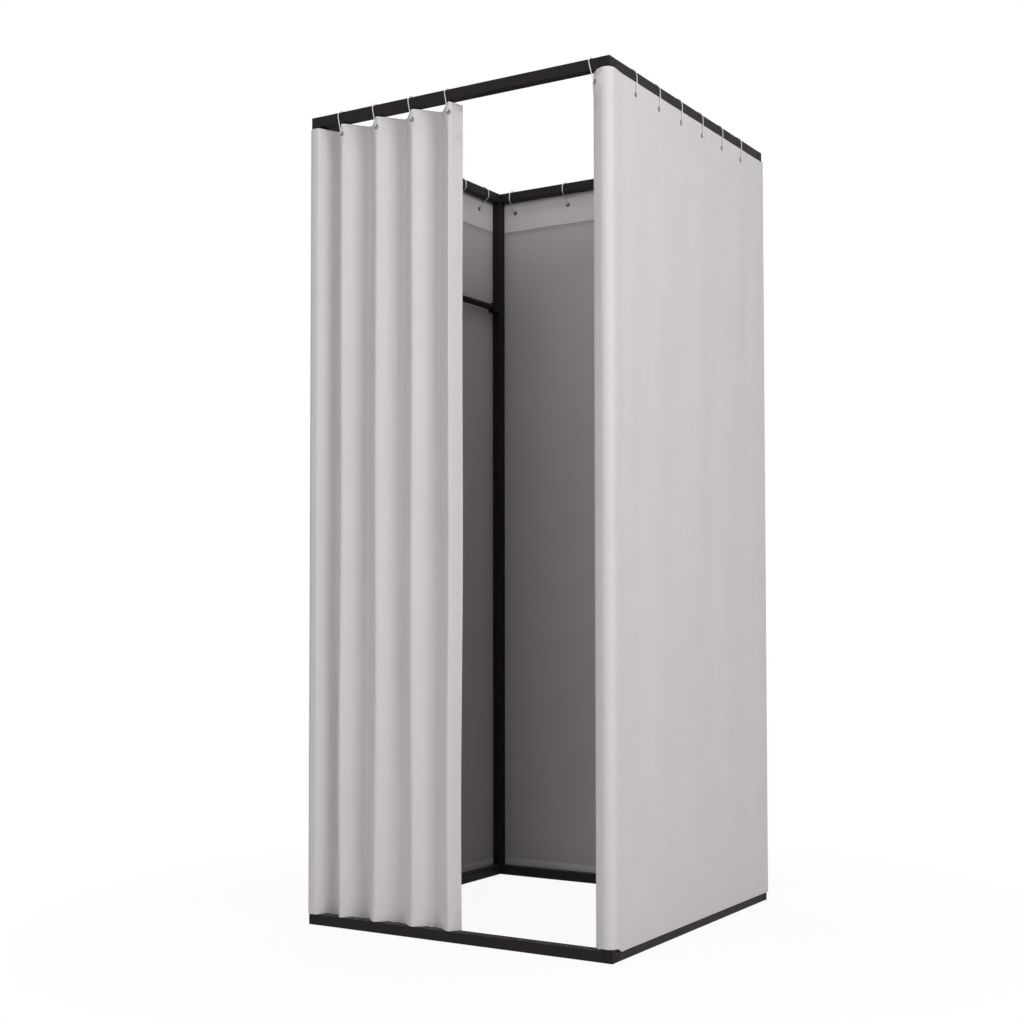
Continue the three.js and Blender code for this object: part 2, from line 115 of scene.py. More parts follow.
def seen_or_mirrored(tree):
    """1 for what the camera sees, straight, in gloss or through glass."""
    ray = node(tree, "LightPath").outputs
    straight_or_gloss = reckon(tree, "MAXIMUM", ray["Is Camera Ray"], ray["Is Glossy Ray"])
    return reckon(tree, "MAXIMUM", straight_or_gloss, ray["Is Transmission Ray"])


def either(tree, share, first, second):
    """The first shader where share is 0 and the second where it is 1."""
    shaders = {0: share, 1: first.outputs[0], 2: second.outputs[0]}
    return node(tree, "MixShader", shaders).outputs[0]


white = (1, 1, 1, 1)
world = bpy.data.worlds.new("studio")
scene.world = world
world.use_nodes = True
air = world.node_tree
air.nodes.clear()
surroundings = node(air, "Background", {"Color": white, "Strength": 0.42})
backdrop = node(air, "Background", {"Color": white, "Strength": 1})
node(air, "OutputWorld", {"Surface": either(air, seen_or_mirrored(air), surroundings, backdrop)})


def material(name):
    """An empty material and its node tree."""
    made = bpy.data.materials.new(name)
    made.use_nodes = True
    made.node_tree.nodes.clear()
    return made, made.node_tree


floor_paint, tree = material("floor_paint")
lit_floor = node(tree, "BsdfDiffuse", {"Color": (0.72, 0.72, 0.72, 1)})
white_floor = node(tree, "Emission", {"Color": white, "Strength": 1})
spot = node(tree, "NewGeometry").outputs["Position"]
from_cabin = node(tree, "VectorMath", {0: spot}, operation="LENGTH").outputs["Value"]
fade = ramp(tree, from_cabin, start=0.7, end=1.6, low=0.93, smooth=True)
whitened = reckon(tree, "MULTIPLY", seen_or_mirrored(tree), fade)
node(tree, "OutputMaterial", {"Surface": either(tree, whitened, lit_floor, white_floor)})

floor_reach = 40
floor_height = -0.0005
floor_corners = [
    (x * floor_reach, y * floor_reach, floor_height)
    for x, y in ((-1, -1), (1, -1), (1, 1), (-1, 1))
]
floor_mesh = bpy.data.meshes.new("studio_floor")
floor_mesh.from_pydata(floor_corners, [], [(0, 1, 2, 3)])
floor_mesh.materials.append(floor_paint)
floor = bpy.data.objects.new("studio_floor", floor_mesh)
scene.collection.objects.link(floor)

# Posts, rails and hanging rail: square and round steel tube with a black, half matt powder
# coat, which has a fine orange peel, a little dust on top and paler edges, partly wear and partly
# a painted highlight. The square tubes are pushed over the corner connectors' stubs, the round one
# into its sockets.


def group(name, inputs, outputs):
    """A shader node group, the sockets of its inputs and those of its outputs."""
    made = bpy.data.node_groups.new(name, "ShaderNodeTree")
    for label, kind, value in inputs:
        socket = made.interface.new_socket(
            name=label, in_out="INPUT", socket_type="NodeSocket" + kind)
        if value is not None:
            socket.default_value = value
    for label in outputs:
        made.interface.new_socket(name=label, in_out="OUTPUT", socket_type="NodeSocketFloat")
    entry, result = made.nodes.new("NodeGroupInput"), made.nodes.new("NodeGroupOutput")
    return made, entry.outputs, result.inputs


def use(tree, made, inputs=None):
    """The outputs of one copy of a node group, placed in a material."""
    return node(tree, "Group", inputs, node_tree=made).outputs


def on_piece(tree):
    """The place on the piece itself, in metres."""
    return node(tree, "TexCoord").outputs["Object"]


def noise(tree, place, scale, detail, roughness=0.5, distortion=0):
    """Smooth noise from 0 to 1, with about scale lumps to the metre."""
    return node(tree, "TexNoise", {
        "Vector": place, "Scale": scale, "Detail": detail, "Roughness": roughness,
        "Distortion": distortion,
    }).outputs["Fac"]


def mixed(tree, share, first, second):
    """The first colour where share is 0 and the second where it is 1."""
    return node(tree, "Mix", {0: share, 6: first, 7: second}, data_type="RGBA").outputs[2]


def bumped(tree, height, depth, strength, over=None):
    """The surface's direction with height added, on the plain surface or over another bump."""
    inputs = {"Height": height, "Distance": depth, "Strength": strength}
    if over is not None:
        inputs["Normal"] = over
    return node(tree, "Bump", inputs).outputs[0]


coat_grain, entry, result = group(
    "coat_grain", [("Grain", "Float", 0.0006), ("Cloud", "Float", 0.03)], ["Height", "Clouds"])
place = on_piece(coat_grain)
fine = reckon(coat_grain, "DIVIDE", 1, entry["Grain"])
broad = reckon(coat_grain, "DIVIDE", 1, entry["Cloud"])
peel = noise(coat_grain, place, fine, detail=2, roughness=0.55)
clouds = noise(coat_grain, place, broad, detail=4, roughness=0.6)
coat_grain.links.new(peel, result["Height"])
coat_grain.links.new(clouds, result["Clouds"])

# Paler edges in patches: partly wear, partly a painted highlight where light would catch the
# rounded edges.
edge_wear_and_highlight, entry, result = group(
    "edge_wear_and_highlight", [("Width", "Float", 0.0012), ("Patch", "Float", 0.02)], ["Mask"])
rounded = node(edge_wear_and_highlight, "Bevel", {"Radius": entry["Width"]}, samples=4).outputs["Normal"]
plain = node(edge_wear_and_highlight, "NewGeometry").outputs["Normal"]
alike = node(edge_wear_and_highlight, "VectorMath", {0: rounded, 1: plain}, operation="DOT_PRODUCT")
edge = ramp(edge_wear_and_highlight, alike.outputs["Value"], start=0.98, end=0.8)
patch_scale = reckon(edge_wear_and_highlight, "DIVIDE", 1, entry["Patch"])
patches = noise(edge_wear_and_highlight, on_piece(edge_wear_and_highlight), patch_scale, detail=3)
patchy = ramp(edge_wear_and_highlight, patches, start=0.35, end=0.65)
edge_wear_and_highlight.links.new(reckon(edge_wear_and_highlight, "MULTIPLY", edge, patchy), result["Mask"])

settled_dust, entry, result = group("settled_dust", [("Amount", "Float", 0.4)], ["Mask"])
facing = node(settled_dust, "NewGeometry").outputs["Normal"]
upward = node(settled_dust, "SeparateXYZ", {0: facing}).outputs["Z"]
on_top = ramp(settled_dust, upward, start=0.4, end=1)
specks = noise(settled_dust, on_piece(settled_dust), scale=260, detail=5)
speckled = ramp(settled_dust, specks, start=0.4, end=0.8)
dusty = reckon(settled_dust, "MULTIPLY", on_top, speckled)
dusted = reckon(settled_dust, "MULTIPLY", dusty, entry["Amount"])
settled_dust.links.new(dusted, result["Mask"])

dust_colour = (0.3, 0.29, 0.28, 1)
edge_wear_highlight_paleness = 2.5


def coated(name, dark, pale, grain, peel_depth, smooth, rough, gloss):
    """Paint or moulded plastic: a fine grain, clouded roughness, dust on top and paler edges that
    are part wear, part painted highlight.
    """
    made, tree = material(name)
    texture = use(tree, coat_grain, {"Grain": grain})
    wear_and_highlight = use(tree, edge_wear_and_highlight)["Mask"]
    dust = use(tree, settled_dust)["Mask"]
    # The edge colour is paler than the coat: wear and a painted edge highlight.
    worn_highlit_edge_colour = (*(edge_wear_highlight_paleness * shade for shade in pale), 1)
    colour = mixed(tree, texture["Clouds"], (*dark, 1), (*pale, 1))
    colour = mixed(tree, wear_and_highlight, colour, worn_highlit_edge_colour)
    colour = mixed(tree, dust, colour, dust_colour)
    roughness = ramp(tree, texture["Clouds"], start=0.3, end=0.7, low=smooth, high=rough)
    bump = bumped(tree, texture["Height"], peel_depth, strength=0.5)
    skin = node(tree, "BsdfPrincipled", {
        "Base Color": colour, "Roughness": roughness, "Normal": bump,
        "Specular IOR Level": gloss, "IOR": 1.5,
    })
    node(tree, "OutputMaterial", {"Surface": skin.outputs[0]})
    return made


powder_coat = coated(
    "powder_coat", dark=(0.0135, 0.0112, 0.0122), pale=(0.0225, 0.019, 0.0202),
    grain=0.0007, peel_depth=0.00004, smooth=0.42, rough=0.56, gloss=0.08)


def dress(node_name, finish, sharp_over=40):
    """Gives a CAD piece its finish, with its round faces shaded smooth."""
    piece = cabin[node_name]
    piece.data.materials.clear()
    piece.data.materials.append(finish)
    piece.data.polygons.foreach_set("use_smooth", [True] * len(piece.data.polygons))
    piece.data.set_sharp_from_angle(angle=math.radians(sharp_over))


corners = ("front_left", "front_right", "back_right", "back_left")
for corner in corners:
    dress(f"post_{corner}", powder_coat)
for side in ("front", "back", "left", "right"):
    dress(f"base_rail_{side}", powder_coat)
    dress(f"top_rail_{side}", powder_coat)
dress("hanger_rail", powder_coat)

# Three-way corner connectors and the hanging rail's sockets: black moulded plastic with a
# spark-eroded grain. The connectors' stubs sit inside the tube ends, and each socket is held
# to its post by one screw.
moulded_plastic = coated(
    "moulded_plastic", dark=(0.0117, 0.0104, 0.0112), pale=(0.019, 0.0162, 0.0173),
    grain=0.0011, peel_depth=0.00007, smooth=0.48, rough=0.62, gloss=0.08)
for corner in corners:
    dress(f"base_corner_{corner}", moulded_plastic)
    dress(f"top_corner_{corner}", moulded_plastic)
for end in ("front", "back"):
    dress(f"hanger_socket_{end}", moulded_plastic)

# Socket screws: pan head screws of bright zinc plated steel, one through each of the hanging
# rail's sockets into the post behind it.


def plated(name, dark, bright, smooth, rough, scratch):
    """Plating on steel or brass, with fine drawing marks and duller patches."""
    made, tree = material(name)
    patches = noise(tree, on_piece(tree), scale=140, detail=4)
    marks = noise(tree, on_piece(tree), scale=2600, detail=1)
    colour = mixed(tree, patches, (*dark, 1), (*bright, 1))
    roughness = ramp(tree, patches, start=0.35, end=0.7, low=rough, high=smooth)
    bump = bumped(tree, marks, scratch, strength=0.4)
    skin = node(tree, "BsdfPrincipled", {
        "Base Color": colour, "Roughness": roughness, "Normal": bump, "Metallic": 1})
    node(tree, "OutputMaterial", {"Surface": skin.outputs[0]})
    return made


bright_zinc = plated(
    "bright_zinc", dark=(0.33, 0.33, 0.34), bright=(0.55, 0.55, 0.54),
    smooth=0.28, rough=0.42, scratch=0.00002)
for end in ("front", "back"):
    dress(f"hanger_screw_{end}", bright_zinc)

# Wire rings that carry the cloth: nickel plated spring wire bent over the rail and down to a
# narrow foot that passes through an eyelet. Each is one closed loop, without its snap.
nickel_wire = plated(
    "nickel_wire", dark=(0.5, 0.49, 0.485), bright=(0.64, 0.63, 0.62),
    smooth=0.46, rough=0.6, scratch=0.00001)
ring_numbers = {
    "right": range(1, 7), "left": range(1, 7), "back": range(1, 6), "curtain": range(1, 5)}
for wall, numbers in ring_numbers.items():
    for number in numbers:
        dress(f"{wall}_ring_{number}", nickel_wire, sharp_over=80)
dress("lip_ring", nickel_wire, sharp_over=80)

# Eyelets: pressed brass, two halves rolled together through the cloth, one at each ring. The
# outer half is plated a dark grey and the inner half, throat included, black: partly a dark
# plating, partly painted shade for the hole and the ring's shadow. The throat's top hangs on the
# wire.
eyelet_height = 1.9438
eyelet_section_mm = [  # distance from the middle, and out from the cloth's middle
    (1.7, -0.45), (1.76, 0.35), (2.15, 0.85), (3, 1.1), (4, 1.14), (5, 0.98), (5.8, 0.72),
    (6.2, 0.5), (6.05, 0.36), (2.6, 0.34), (2.6, -1.24), (5.8, -1.26), (6, -1.42),
    (5.7, -1.66), (4.8, -1.9), (3.5, -2.02), (2.5, -1.92), (1.87, -1.55), (1.7, -1.1),
]
eyelet_section = [(radius / 1000, proud / 1000) for radius, proud in eyelet_section_mm]
outer_points = range(1, 9)
turn_steps = 40
# Both platings are darker than plain nickel: partly their own finish, partly painted shade in and
# around the hole.
grey_nickel_and_painted_shade = plated(
    "grey_nickel_and_painted_shade", dark=(0.17, 0.165, 0.162), bright=(0.28, 0.272, 0.268),
    smooth=0.34, rough=0.48, scratch=0.00002)
black_nickel_and_painted_shade = plated(
    "black_nickel_and_painted_shade", dark=(0.032, 0.031, 0.031), bright=(0.065, 0.063, 0.062),
    smooth=0.4, rough=0.55, scratch=0.00002)


def eyelets(name, body, places):
    """One mesh of like eyelets; each place is (x, y, direction out of the cloth, rise)."""
    vertices, faces, plating_and_shade = [], [], []
    for x, y, out, rise in places:
        first = len(vertices)
        right = (-out[1], out[0])
        for step in range(turn_steps):
            angle = 2 * math.pi * step / turn_steps
            for radius, proud in eyelet_section:
                across = radius * math.cos(angle)
                vertices.append((
                    x + right[0] * across + out[0] * proud,
                    y + right[1] * across + out[1] * proud,
                    eyelet_height + rise + radius * math.sin(angle),
                ))
        around = len(eyelet_section)
        for step in range(turn_steps):
            for point in range(around):
                here = first + step * around
                there = first + (step + 1) % turn_steps * around
                after = (point + 1) % around
                faces.append((here + point, there + point, there + after, here + after))
                plating_and_shade.append(0 if point in outer_points else 1)
    mesh = bpy.data.meshes.new(name)
    mesh.from_pydata(vertices, [], faces)
    mesh.materials.append(grey_nickel_and_painted_shade)
    mesh.materials.append(black_nickel_and_painted_shade)
    mesh.polygons.foreach_set("material_index", plating_and_shade)
    mesh.polygons.foreach_set("use_smooth", [True] * len(mesh.polygons))
    mesh.set_sharp_from_angle(angle=math.radians(60))
    piece = bpy.data.objects.new(name, mesh)
    scene.collection.objects.link(piece)
    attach(piece, body)
    return piece


cloth_plane = 0.4272
wire_radius = 0.0012
ring_foot_in = 0.0019
lip_radius = 0.039
lip_middle = 0.408
lip_eyelet_rise = 0.0015


def ring_middles(prefix, numbers):
    """Middle of each ring of a wall."""
    boxes = [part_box(f"{prefix}_{number}") for number in numbers]
    return [(low + high) / 2 for low, high in boxes]


def leaning_foot(ring):
    """Where the foot of a front ring is along its rail; these rings lean to the right."""
    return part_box(ring)[1].x - wire_radius


right_rings = [middle.y for middle in ring_middles("right_ring", ring_numbers["right"])]
left_rings = [middle.y for middle in ring_middles("left_ring", ring_numbers["left"])]
back_rings = [middle.x for middle in ring_middles("back_ring", ring_numbers["back"])]
curtain_rings = [leaning_foot(f"curtain_ring_{number}") for number in ring_numbers["curtain"]]
lip_eyelet = leaning_foot("lip_ring")
lip_slope = math.atan2(lip_middle - lip_eyelet, lip_radius - ring_foot_in)
lip_facing = (-math.sin(lip_slope), -math.cos(lip_slope))
lip_eyelet_place = (lip_eyelet, ring_foot_in - cloth_plane, lip_facing, lip_eyelet_rise)
right_eyelets = eyelets("right_eyelets", "frame", [
    *((cloth_plane, y, (1, 0), 0) for y in right_rings), lip_eyelet_place])
left_eyelets = eyelets(
    "left_eyelets", "frame", [(-cloth_plane, y, (-1, 0), 0) for y in left_rings])
back_eyelets = eyelets(
    "back_eyelets", "frame", [(x, cloth_plane, (0, 1), 0) for x in back_rings])
ring_bodies = ("curtain_ring_one", "curtain_ring_two", "curtain_ring_three", "curtain_ring_four")
curtain_eyelets = [
    eyelets(f"curtain_eyelet_{number}", body, [(x, -cloth_plane, (0, -1), 0)])
    for number, body, x in zip(ring_numbers["curtain"], ring_bodies, curtain_rings)
]

# The cloth: a plain woven polyester, pale warm grey on its face, with a darker grey backing
# on the inside that keeps the light out. All its edges are folded over and lock stitched.
plain_weave, entry, result = group(
    "plain_weave", [("Place", "Vector", None), ("Pitch", "Float", 0.00055)],
    ["Height", "Threads"])
spot = node(plain_weave, "SeparateXYZ", {0: entry["Place"]}).outputs
turn = reckon(plain_weave, "DIVIDE", math.pi, entry["Pitch"])
warp = reckon(plain_weave, "SINE", reckon(plain_weave, "MULTIPLY", spot["X"], turn))
weft = reckon(plain_weave, "SINE", reckon(plain_weave, "MULTIPLY", spot["Y"], turn))
crossing = reckon(plain_weave, "MULTIPLY", warp, weft)
weft_on_top = ramp(plain_weave, crossing, start=-0.25, end=0.25, smooth=True)
thread = node(plain_weave, "Mix", {
    0: weft_on_top, 2: reckon(plain_weave, "ABSOLUTE", warp),
    3: reckon(plain_weave, "ABSOLUTE", weft),
}).outputs[0]
pitches = reckon(plain_weave, "DIVIDE", 1, entry["Pitch"])
thread_stretch = 0.02
tones = []
for stretch in ((1, thread_stretch, 1), (thread_stretch, 1, 1)):
    drawn = node(plain_weave, "VectorMath", {0: entry["Place"], 1: stretch}, operation="MULTIPLY")
    per_thread = node(plain_weave, "VectorMath", {0: drawn.outputs[0], "Scale": pitches},
                      operation="SCALE")
    tones.append(noise(plain_weave, per_thread.outputs[0], scale=1, detail=1))
tone = node(plain_weave, "Mix", {0: weft_on_top, 2: tones[0], 3: tones[1]}).outputs[0]
plain_weave.links.new(thread, result["Height"])
plain_weave.links.new(tone, result["Threads"])

lock_stitch, entry, result = group(
    "lock_stitch",
    [("Seam", "Vector", None), ("Stitch", "Float", 0.0036), ("Thread", "Float", 0.00042)],
    ["Mask", "Pucker"])
pucker_reach = 0.007
pucker_pitch = 0.0075
spot = node(lock_stitch, "SeparateXYZ", {0: entry["Seam"]}).outputs
beat = reckon(lock_stitch, "FRACT", reckon(lock_stitch, "DIVIDE", spot["X"], entry["Stitch"]))
from_middle = reckon(lock_stitch, "ABSOLUTE", reckon(lock_stitch, "SUBTRACT", beat, 0.5))
dash = ramp(lock_stitch, from_middle, start=0.42, end=0.34, smooth=True)
half_thread = reckon(lock_stitch, "MULTIPLY", entry["Thread"], 0.5)
near = ramp(lock_stitch, spot["Y"], start=entry["Thread"], end=half_thread, smooth=True)
lock_stitch.links.new(reckon(lock_stitch, "MULTIPLY", dash, near), result["Mask"])
gather = ramp(lock_stitch, spot["Y"], start=pucker_reach, end=0, smooth=True)
turns = reckon(lock_stitch, "MULTIPLY", spot["X"], 2 * math.pi / pucker_pitch)
wave = reckon(lock_stitch, "SINE", turns)
lock_stitch.links.new(reckon(lock_stitch, "MULTIPLY", gather, wave), result["Pucker"])

soft_creases, entry, result = group(
    "soft_creases", [("Place", "Vector", None)], ["Height", "Blotches"])
crease_stretch = (22, 3.5, 1)
crumple_share = 0.16
falling = node(soft_creases, "VectorMath", {0: entry["Place"], 1: crease_stretch},
               operation="MULTIPLY").outputs[0]
folds = noise(soft_creases, falling, scale=1, detail=3, roughness=0.45, distortion=0.6)
crumple = noise(soft_creases, entry["Place"], scale=34, detail=3)
crumpled = reckon(soft_creases, "MULTIPLY", crumple, crumple_share)
blotches = noise(soft_creases, entry["Place"], scale=5.5, detail=5)
soft_creases.links.new(reckon(soft_creases, "ADD", folds, crumpled), result["Height"])
soft_creases.links.new(blotches, result["Blotches"])

thread_share, blotch_share = 0.55, 0.45


def woven(name, dark, pale, thread_colour, weave_depth, smooth, rough, sheen):
    """Cloth whose weave, stitches and creases follow the flat cloth's own width and height."""
    made, tree = material(name)
    place = node(tree, "Attribute", attribute_name="cloth_place").outputs["Vector"]
    seam = node(tree, "Attribute", attribute_name="seam_place").outputs["Vector"]
    weave = use(tree, plain_weave, {"Place": place})
    stitch = use(tree, lock_stitch, {"Seam": seam})
    creases = use(tree, soft_creases, {"Place": place})
    shade = reckon(tree, "MULTIPLY", weave["Threads"], thread_share)
    shade = reckon(tree, "MULTIPLY_ADD", creases["Blotches"], blotch_share, shade)
    colour = mixed(tree, shade, (*dark, 1), (*pale, 1))
    colour = mixed(tree, stitch["Mask"], colour, (*thread_colour, 1))
    roughness = ramp(tree, weave["Height"], start=0, end=1, low=rough, high=smooth)
    folds = bumped(tree, creases["Height"], depth=0.004, strength=0.35)
    seams = bumped(tree, stitch["Pucker"], depth=0.00035, strength=0.5, over=folds)
    sewing = bumped(tree, stitch["Mask"], depth=0.0003, strength=0.8, over=seams)
    bump = bumped(tree, weave["Height"], weave_depth, strength=0.5, over=sewing)
    skin = node(tree, "BsdfPrincipled", {
        "Base Color": colour, "Roughness": roughness, "Normal": bump,
        "Sheen Weight": sheen, "Sheen Roughness": 0.5, "Specular IOR Level": 0.25,
    })
    node(tree, "OutputMaterial", {"Surface": skin.outputs[0]})
    return made


cloth_face = woven(
    "cloth_face", dark=(0.548, 0.52, 0.526), pale=(0.655, 0.622, 0.63),
    thread_colour=(0.67, 0.65, 0.655), weave_depth=0.00012, smooth=0.82, rough=0.92, sheen=0.15)
cloth_backing = woven(
    "cloth_backing", dark=(0.404, 0.378, 0.383), pale=(0.483, 0.4525, 0.458),
    thread_colour=(0.51, 0.484, 0.489), weave_depth=0.00006, smooth=0.62, rough=0.74, sheen=0.05)

half_cloth = 0.00035
half_fold = 0.0008
fold_shift = -0.00045
fold_edge = 0.0008
edge_rounding = (0.0002, 0.0005, half_fold)
thinnest_edge = 0.3
heading_depth = 0.088
side_hem = 0.012
seam_inset = 0.003
heading_seam = 0.004
top_seam = 0.009
stitch_width = 0.0015
stitch_pull = 0.00028
eyelet_hole = 0.0035
hole_surround = 0.008
row_step = 0.018
around_seam = (-stitch_width, 0, stitch_width)
around_hole = (-hole_surround, -eyelet_hole, 0, eyelet_hole, hole_surround)


def spaced(start, end, step, marks):
    """Places from start to end about step apart, with every mark among them."""
    fixed = sorted({round(mark, 6) for mark in (start, end, *marks) if start <= mark <= end})
    found = []
    for low, high in zip(fixed, fixed[1:]):
        count = max(1, round((high - low) / step))
        found.extend(np.linspace(low, high, count + 1)[:-1])
    return np.array([*found, fixed[-1]])


def cloth_sheet(name, width, foot, top, hem, step, holes, shape):
    """A hemmed cloth as one closed mesh; shape gives its middle's points at widths and heights."""
    heading_foot = top - heading_depth
    seam_rows = (foot + hem - seam_inset, heading_foot + heading_seam, top - top_seam)
    seam_columns = (side_hem - seam_inset, width - side_hem + seam_inset)
    row_marks = [foot + mark for mark in (*edge_rounding, hem, hem + fold_edge)]
    row_marks += [top - mark for mark in edge_rounding]
    row_marks += [heading_foot, heading_foot + fold_edge]
    row_marks += [seam + off for seam in seam_rows for off in around_seam]
    row_marks += [eyelet_height + off for off in around_hole]
    column_marks = [*edge_rounding, side_hem, side_hem + fold_edge]
    column_marks += [width - mark for mark in column_marks]
    column_marks += [seam + off for seam in seam_columns for off in around_seam]
    column_marks += [hole + off for hole in holes for off in around_hole]
    widths = spaced(0, width, step, column_marks)
    heights = spaced(foot, top, row_step, row_marks)
    across, up = np.meshgrid(widths, heights)
    kept = np.ones((len(heights) - 1, len(widths) - 1), bool)
    row = int(np.argmin(abs(heights - eyelet_height)))
    for hole in holes:
        column = int(np.argmin(abs(widths - hole)))
        kept[row - 1:row + 1, column - 1:column + 1] = False
        for down in (-1, 0, 1):
            for along in (-1, 0, 1):
                if down or along:
                    reach = eyelet_hole / math.hypot(down, along)
                    up[row + down, column + along] = eyelet_height + down * reach
                    across[row + down, column + along] = hole + along * reach

    small = 0.0004
    middle = shape(across, up)
    along_width = shape(across + small, up) - shape(across - small, up)
    along_height = shape(across, up + small) - shape(across, up - small)
    outward = np.cross(along_width, along_height)
    outward /= np.linalg.norm(outward, axis=2, keepdims=True)

    row_gaps = [abs(up - seam) for seam in seam_rows]
    column_gaps = [abs(across - seam) for seam in seam_columns]
    seam_gap = np.minimum.reduce(row_gaps + column_gaps)
    on_side = np.minimum.reduce(column_gaps) <= np.minimum.reduce(row_gaps)
    seam_run = np.where(on_side, up, across)
    into_fold = np.maximum.reduce([
        up - heading_foot, foot + hem - up, side_hem - across, across - width + side_hem])
    folded = np.clip(into_fold / fold_edge, 0, 1)
    half = half_cloth + (half_fold - half_cloth) * folded
    half -= stitch_pull * np.exp(-(seam_gap / stitch_width) ** 2)
    from_edge = np.minimum.reduce([top - up, up - foot, across, width - across])
    bend = np.clip(1 - from_edge / half, 0, 1)
    half = half * np.clip(np.sqrt(1 - bend ** 2), thinnest_edge, 1)
    shift = fold_shift * folded
    outer = middle + outward * (shift + half)[..., None]
    inner = middle + outward * (shift - half)[..., None]

    rows, columns = across.shape
    face = np.arange(rows * columns).reshape(rows, columns)
    quads = np.stack([face[:-1, :-1], face[:-1, 1:], face[1:, 1:], face[1:, :-1]], axis=-1)
    back = quads[..., ::-1] + rows * columns
    faces, surfaces = [quads[kept], back[kept]], [np.zeros(kept.sum(), int)]
    cell_folded = (folded[:-1, :-1] > 0) & (folded[1:, 1:] > 0)
    surfaces.append(np.where(cell_folded, 0, 1)[kept])
    walled = np.pad(kept, 1)
    neighbours = (walled[:-2, 1:-1], walled[1:-1, 2:], walled[2:, 1:-1], walled[1:-1, :-2])
    for side, neighbour in enumerate(neighbours):
        open_side = kept & ~neighbour
        start, end = quads[open_side][:, side], quads[open_side][:, (side + 1) % 4]
        rim = np.stack([end, start, start + rows * columns, end + rows * columns], axis=-1)
        faces.append(rim)
        surfaces.append(np.zeros(len(rim), int))
    faces, surfaces = np.concatenate(faces), np.concatenate(surfaces)
    used, faces = np.unique(faces, return_inverse=True)
    faces = faces.reshape(-1, 4)

    points = np.concatenate([outer.reshape(-1, 3), inner.reshape(-1, 3)])[used]
    mesh = bpy.data.meshes.new(name)
    mesh.from_pydata(points.tolist(), [], faces.tolist())
    mesh.materials.append(cloth_face)
    mesh.materials.append(cloth_backing)
    mesh.polygons.foreach_set("material_index", surfaces)
    mesh.polygons.foreach_set("use_smooth", [True] * len(faces))
    mesh.set_sharp_from_angle(angle=math.radians(55))
    zero = np.zeros_like(across)
    labelled = (("cloth_place", (across, up, zero)), ("seam_place", (seam_run, seam_gap, zero)))
    for label, parts in labelled:
        values = np.stack(parts, axis=-1).reshape(-1, 3)
        values = np.concatenate([values, values])[used]
        attribute = mesh.attributes.new(label, "FLOAT_VECTOR", "POINT")
        attribute.data.foreach_set("vector", values.ravel())
    piece = bpy.data.objects.new(name, mesh)
    scene.collection.objects.link(piece)
    return piece


def ease(value):
    """0 below 0, 1 above 1 and smooth between."""
    share = np.clip(value, 0, 1)
    return share * share * (3 - 2 * share)


def lengths_along(line):
    """How far each point of a line is from its start, along the line."""
    return np.concatenate([[0], np.cumsum(np.hypot(*np.diff(line, axis=0).T))])


def along_line(line, across):
    """Plan position and outward direction at a width along a cloth's top line."""
    lengths = lengths_along(line)
    small = 0.0008
    places = []
    for off in (0, -small, small):
        at = across + off
        x = np.interp(at, lengths, line[:, 0])
        y = np.interp(at, lengths, line[:, 1])
        beyond = np.where(at < 0, at, np.where(at > lengths[-1], at - lengths[-1], 0))
        first, last = line[1] - line[0], line[-1] - line[-2]
        run = np.where(at[..., None] < 0, first / np.hypot(*first), last / np.hypot(*last))
        places.append(np.stack([x, y], axis=-1) + run * beyond[..., None])
    run = places[2] - places[1]
    run /= np.linalg.norm(run, axis=-1, keepdims=True)
    return places[0], np.stack([run[..., 1], -run[..., 0]], axis=-1)


clamped_reach = 0.009
clamp_fade = 0.014


def near_eyelets(across, up, holes):
    """1 on the flat patch that each eyelet clamps, fading to 0 around it."""
    near = np.zeros_like(across)
    for hole in holes:
        gap = np.hypot(across - hole, up - eyelet_height)
        near = np.maximum(near, 1 - ease((gap - clamped_reach) / clamp_fade))
    return near


# Wall cloths: what the right, back and left cloth share. Each hangs from its rings along a line
# in plan, lies flat on the base rail and the posts, and between them is pushed in or out by
# puckers, slow waves and a belly.
wall_top = 1.977
wall_foot = 0.021
wall_hem = 0.025
rail_lap = 0.03
rail_fade = 0.25
post_face = 0.395
post_fade = 0.09
ring_pull = 0.0012
pull_reach = 0.5
sag_reach = 0.12


def hung(line, billow):
    """The shape of a wall cloth that hangs under its line, pushed out by billow."""
    def shape(across, up):
        place, out = along_line(line, across)
        push, droop = billow(across, up, place)
        flat = place + out * push[..., None]
        return np.concatenate([flat, (up - droop)[..., None]], axis=-1)
    return shape


def off_frame(up, *post_gaps):
    """0 where a cloth lies on the base rail or a post, 1 well away from them."""
    away = ease((up - rail_lap) / rail_fade)
    for gap in post_gaps:
        away = away * ease(gap / post_fade)
    return away


def between_rings(run, rings):
    """0 at each ring and 1 half way between two."""
    return np.sin(math.pi * (run - rings[0]) / (rings[1] - rings[0])) ** 2


def puckers(run, up, top, rings, depth, sway, sway_rate, pitch):
    """Puckers under the rings, and slow waves that wander to and fro down the cloth."""
    pulled = ring_pull * (1 - between_rings(run, rings)) * np.exp(-(top - up) / pull_reach)
    return pulled + depth * np.sin(2 * math.pi * (run + sway * np.sin(sway_rate * up)) / pitch)


def belly(run, up, top, depth, bay):
    """A swelling that is most in the middle of the bay."""
    by_height = np.sin(math.pi * np.clip(up / top, 0, 1))
    return depth * by_height * np.cos(math.pi * np.clip(run / bay, -0.5, 0.5))


def sag(run, up, top, rings, depth):
    """How far the top edge hangs down between two rings."""
    return depth * between_rings(run, rings) * ease(1 - (top - up) / sag_reach)


